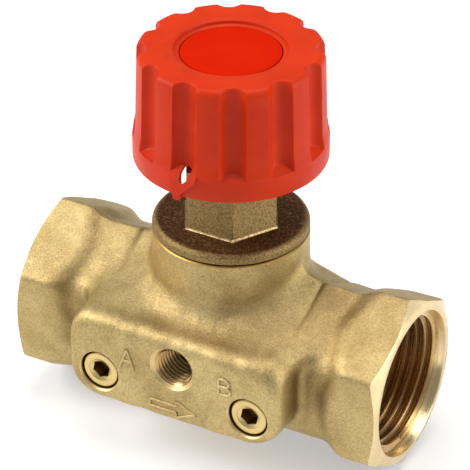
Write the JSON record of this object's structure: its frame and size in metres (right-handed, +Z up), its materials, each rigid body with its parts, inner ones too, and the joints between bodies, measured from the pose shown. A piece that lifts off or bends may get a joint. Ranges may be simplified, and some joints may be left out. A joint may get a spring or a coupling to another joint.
{
  "type": "shut-off valve",
  "caption": "Straight brass shut-off valve with hexagonal pipe sockets, a front tapping boss with screw plugs, and a red fluted hand knob on a rising spindle.",
  "frame": {"origin": "where the pipe axis meets the spindle axis", "axes": "+X along the pipe in the direction of flow, +Z up the spindle towards the knob, -Y out of the tapping boss"},
  "size_m": [0.075, 0.0399, 0.0773],
  "materials": {
    "forged_brass": "forged and shot-blasted, slightly grainy",
    "dark_brass": "forged, oxidised to dark brown on the flat",
    "turned_brass": "turned, bright",
    "steel": "bright zinc plated",
    "red_plastic": "moulded, satin",
    "bright_red_plastic": "moulded, smooth",
    "rubber": "matt",
    "ptfe": "waxy white"
  },
  "bodies": {
    "housing": {"valve_body": "forged_brass", "bonnet": "dark_brass", "bonnet_seal_ring": "rubber", "gland_nut": "turned_brass", "spindle_seal_lower": "rubber", "seal_spacer": "turned_brass", "spindle_seal_upper": "rubber"},
    "cone": {"cone_carrier": "turned_brass", "seat_washer": "ptfe", "throttle_cone": "turned_brass", "cone_screw": "steel", "spindle_clip": "steel"},
    "handwheel": {"spindle": "turned_brass", "knob": "red_plastic", "knob_cap": "bright_red_plastic", "knob_screw": "steel", "knob_screw_washer": "steel"},
    "seal_a": {"plug_a_seal": "rubber"},
    "screw_a": {"plug_a": "turned_brass"},
    "seal_b": {"plug_b_seal": "rubber"},
    "screw_b": {"plug_b": "turned_brass"}
  },
  "joints": [
    {"name": "cone_lift", "type": "slide", "parent": "housing", "child": "cone", "axis": [0, 0, 1], "range_m": [-0.0048, 0]},
    {"name": "knob_turn", "type": "hinge", "parent": "cone", "child": "handwheel", "pos_m": [0, 0, 0.05], "axis": [0, 0, 1], "range_deg": [-1152.1, 0]},
    {"name": "plug_a_travel", "type": "slide", "parent": "housing", "child": "seal_a", "axis": [0, -1, 0], "range_m": [0, 0.0012]},
    {"name": "plug_a_turn", "type": "hinge", "parent": "seal_a", "child": "screw_a", "pos_m": [-0.0154, -0.018, -0.00142], "axis": [0, -1, 0], "range_deg": [0, 540.1]},
    {"name": "plug_b_travel", "type": "slide", "parent": "housing", "child": "seal_b", "axis": [0, -1, 0], "range_m": [0, 0.0012]},
    {"name": "plug_b_turn", "type": "hinge", "parent": "seal_b", "child": "screw_b", "pos_m": [0.0154, -0.018, -0.00142], "axis": [0, -1, 0], "range_deg": [0, 540.1]}
  ],
  "couplings": [
    {"joint": "knob_turn", "follows": "cone_lift", "rad_per_m": 4188.8},
    {"joint": "plug_a_turn", "follows": "plug_a_travel", "rad_per_m": 7854},
    {"joint": "plug_b_turn", "follows": "plug_b_travel", "rad_per_m": 7854}
  ]
}
